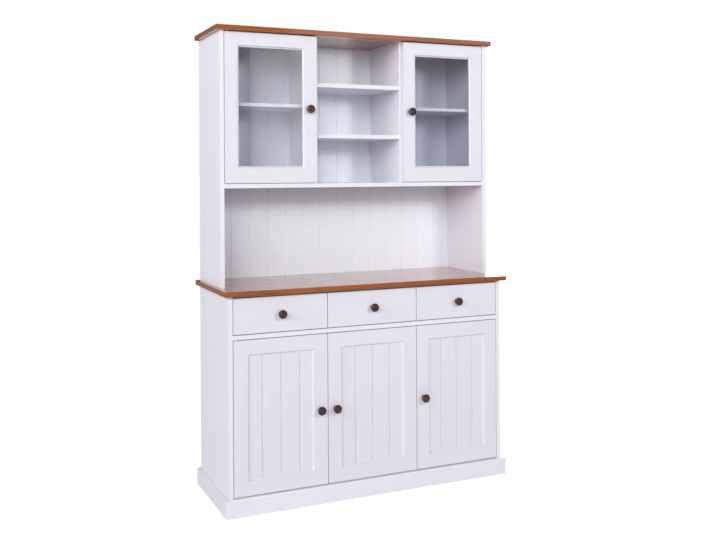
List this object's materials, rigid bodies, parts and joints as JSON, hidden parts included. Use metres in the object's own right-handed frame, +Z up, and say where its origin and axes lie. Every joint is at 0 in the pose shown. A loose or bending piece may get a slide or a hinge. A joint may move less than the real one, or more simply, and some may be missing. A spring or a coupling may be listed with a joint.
{
  "type": "sideboard with hutch",
  "caption": "Painted sideboard with drawers over panelled cupboards, and a hutch with an open bay, shelved niche and glazed cupboards, under stained wooden tops.",
  "frame": {"origin": "on the floor, at the middle of the bounding box in plan", "axes": "+X to the right seen from the front, +Y from the front to the back, +Z up"},
  "size_m": [1.26, 0.46, 1.9],
  "materials": {
    "painted_front": "satin cool white paint on wood",
    "painted_case": "satin cool white paint on board",
    "painted_boarding": "satin cool white paint on grooved board",
    "back_sheet": "thin white-faced back board",
    "stained_top": "brown stained and lacquered wood",
    "knob_wood": "dark stained turned wood",
    "hardwood": "plain beech",
    "drawer_wood": "plain lacquered pine",
    "glass": "clear float glass",
    "fitting_steel": "zinc plated steel",
    "catch_plastic": "brown moulded plastic"
  },
  "bodies": {
    "cabinet": {"base_back_panel": "back_sheet", "base_bottom_board": "painted_case", "base_divider": "painted_case", "base_shelf_left": "painted_case", "base_shelf_right": "painted_case", "base_side_left": "painted_case", "base_side_right": "painted_case", "counter_top": "stained_top", "cupboard_shelf_left": "painted_case", "cupboard_shelf_right": "painted_case", "drawer_partition_left": "painted_case", "drawer_partition_right": "painted_case", "drawer_runners": "hardwood", "dust_board": "painted_case", "hutch_back_panel": "painted_boarding", "hutch_bottom_board": "painted_case", "hutch_divider_left": "painted_case", "hutch_divider_right": "painted_case", "hutch_dowels": "hardwood", "hutch_side_left": "painted_case", "hutch_side_right": "painted_case", "hutch_top": "stained_top", "magnetic_catches": "catch_plastic", "niche_shelf_lower": "painted_case", "niche_shelf_upper": "painted_case", "pivot_pins": "fitting_steel", "plinth_front": "painted_case", "plinth_left": "painted_case", "plinth_right": "painted_case", "shelf_pins": "fitting_steel", "top_rails": "painted_case"},
    "drawer_1": {"drawer_1_box": "drawer_wood", "drawer_1_front": "painted_front", "drawer_1_knob": "knob_wood"},
    "drawer_2": {"drawer_2_box": "drawer_wood", "drawer_2_front": "painted_front", "drawer_2_knob": "knob_wood"},
    "drawer_3": {"drawer_3_box": "drawer_wood", "drawer_3_front": "painted_front", "drawer_3_knob": "knob_wood"},
    "hutch_door_left": {"hutch_door_left_fittings": "fitting_steel", "hutch_door_left_frame": "painted_front", "hutch_door_left_glass": "glass", "hutch_door_left_knob": "knob_wood"},
    "hutch_door_right": {"hutch_door_right_fittings": "fitting_steel", "hutch_door_right_frame": "painted_front", "hutch_door_right_glass": "glass", "hutch_door_right_knob": "knob_wood"},
    "lower_door_1": {"lower_door_1_fittings": "fitting_steel", "lower_door_1_frame": "painted_front", "lower_door_1_knob": "knob_wood", "lower_door_1_panel": "painted_front"},
    "lower_door_2": {"lower_door_2_fittings": "fitting_steel", "lower_door_2_frame": "painted_front", "lower_door_2_knob": "knob_wood", "lower_door_2_panel": "painted_front"},
    "lower_door_3": {"lower_door_3_fittings": "fitting_steel", "lower_door_3_frame": "painted_front", "lower_door_3_knob": "knob_wood", "lower_door_3_panel": "painted_front"}
  },
  "joints": [
    {"name": "drawer_1_slide", "type": "slide", "parent": "cabinet", "child": "drawer_1", "axis": [0, -1, 0], "range_m": [0, 0.26]},
    {"name": "drawer_2_slide", "type": "slide", "parent": "cabinet", "child": "drawer_2", "axis": [0, -1, 0], "range_m": [0, 0.26]},
    {"name": "drawer_3_slide", "type": "slide", "parent": "cabinet", "child": "drawer_3", "axis": [0, -1, 0], "range_m": [0, 0.26]},
    {"name": "lower_door_1_hinge", "type": "hinge", "parent": "cabinet", "child": "lower_door_1", "pos_m": [-0.5805, -0.194, 0.0724], "axis": [0, 0, -1], "range_deg": [0, 105]},
    {"name": "lower_door_2_hinge", "type": "hinge", "parent": "cabinet", "child": "lower_door_2", "pos_m": [0.189, -0.194, 0.0724], "axis": [0, 0, 1], "range_deg": [0, 105]},
    {"name": "lower_door_3_hinge", "type": "hinge", "parent": "cabinet", "child": "lower_door_3", "pos_m": [0.5805, -0.194, 0.0724], "axis": [0, 0, 1], "range_deg": [0, 105]},
    {"name": "hutch_door_left_hinge", "type": "hinge", "parent": "cabinet", "child": "hutch_door_left", "pos_m": [-0.5805, -0.088, 1.2765], "axis": [0, 0, -1], "range_deg": [0, 105]},
    {"name": "hutch_door_right_hinge", "type": "hinge", "parent": "cabinet", "child": "hutch_door_right", "pos_m": [0.5805, -0.088, 1.2765], "axis": [0, 0, 1], "range_deg": [0, 105]}
  ]
}
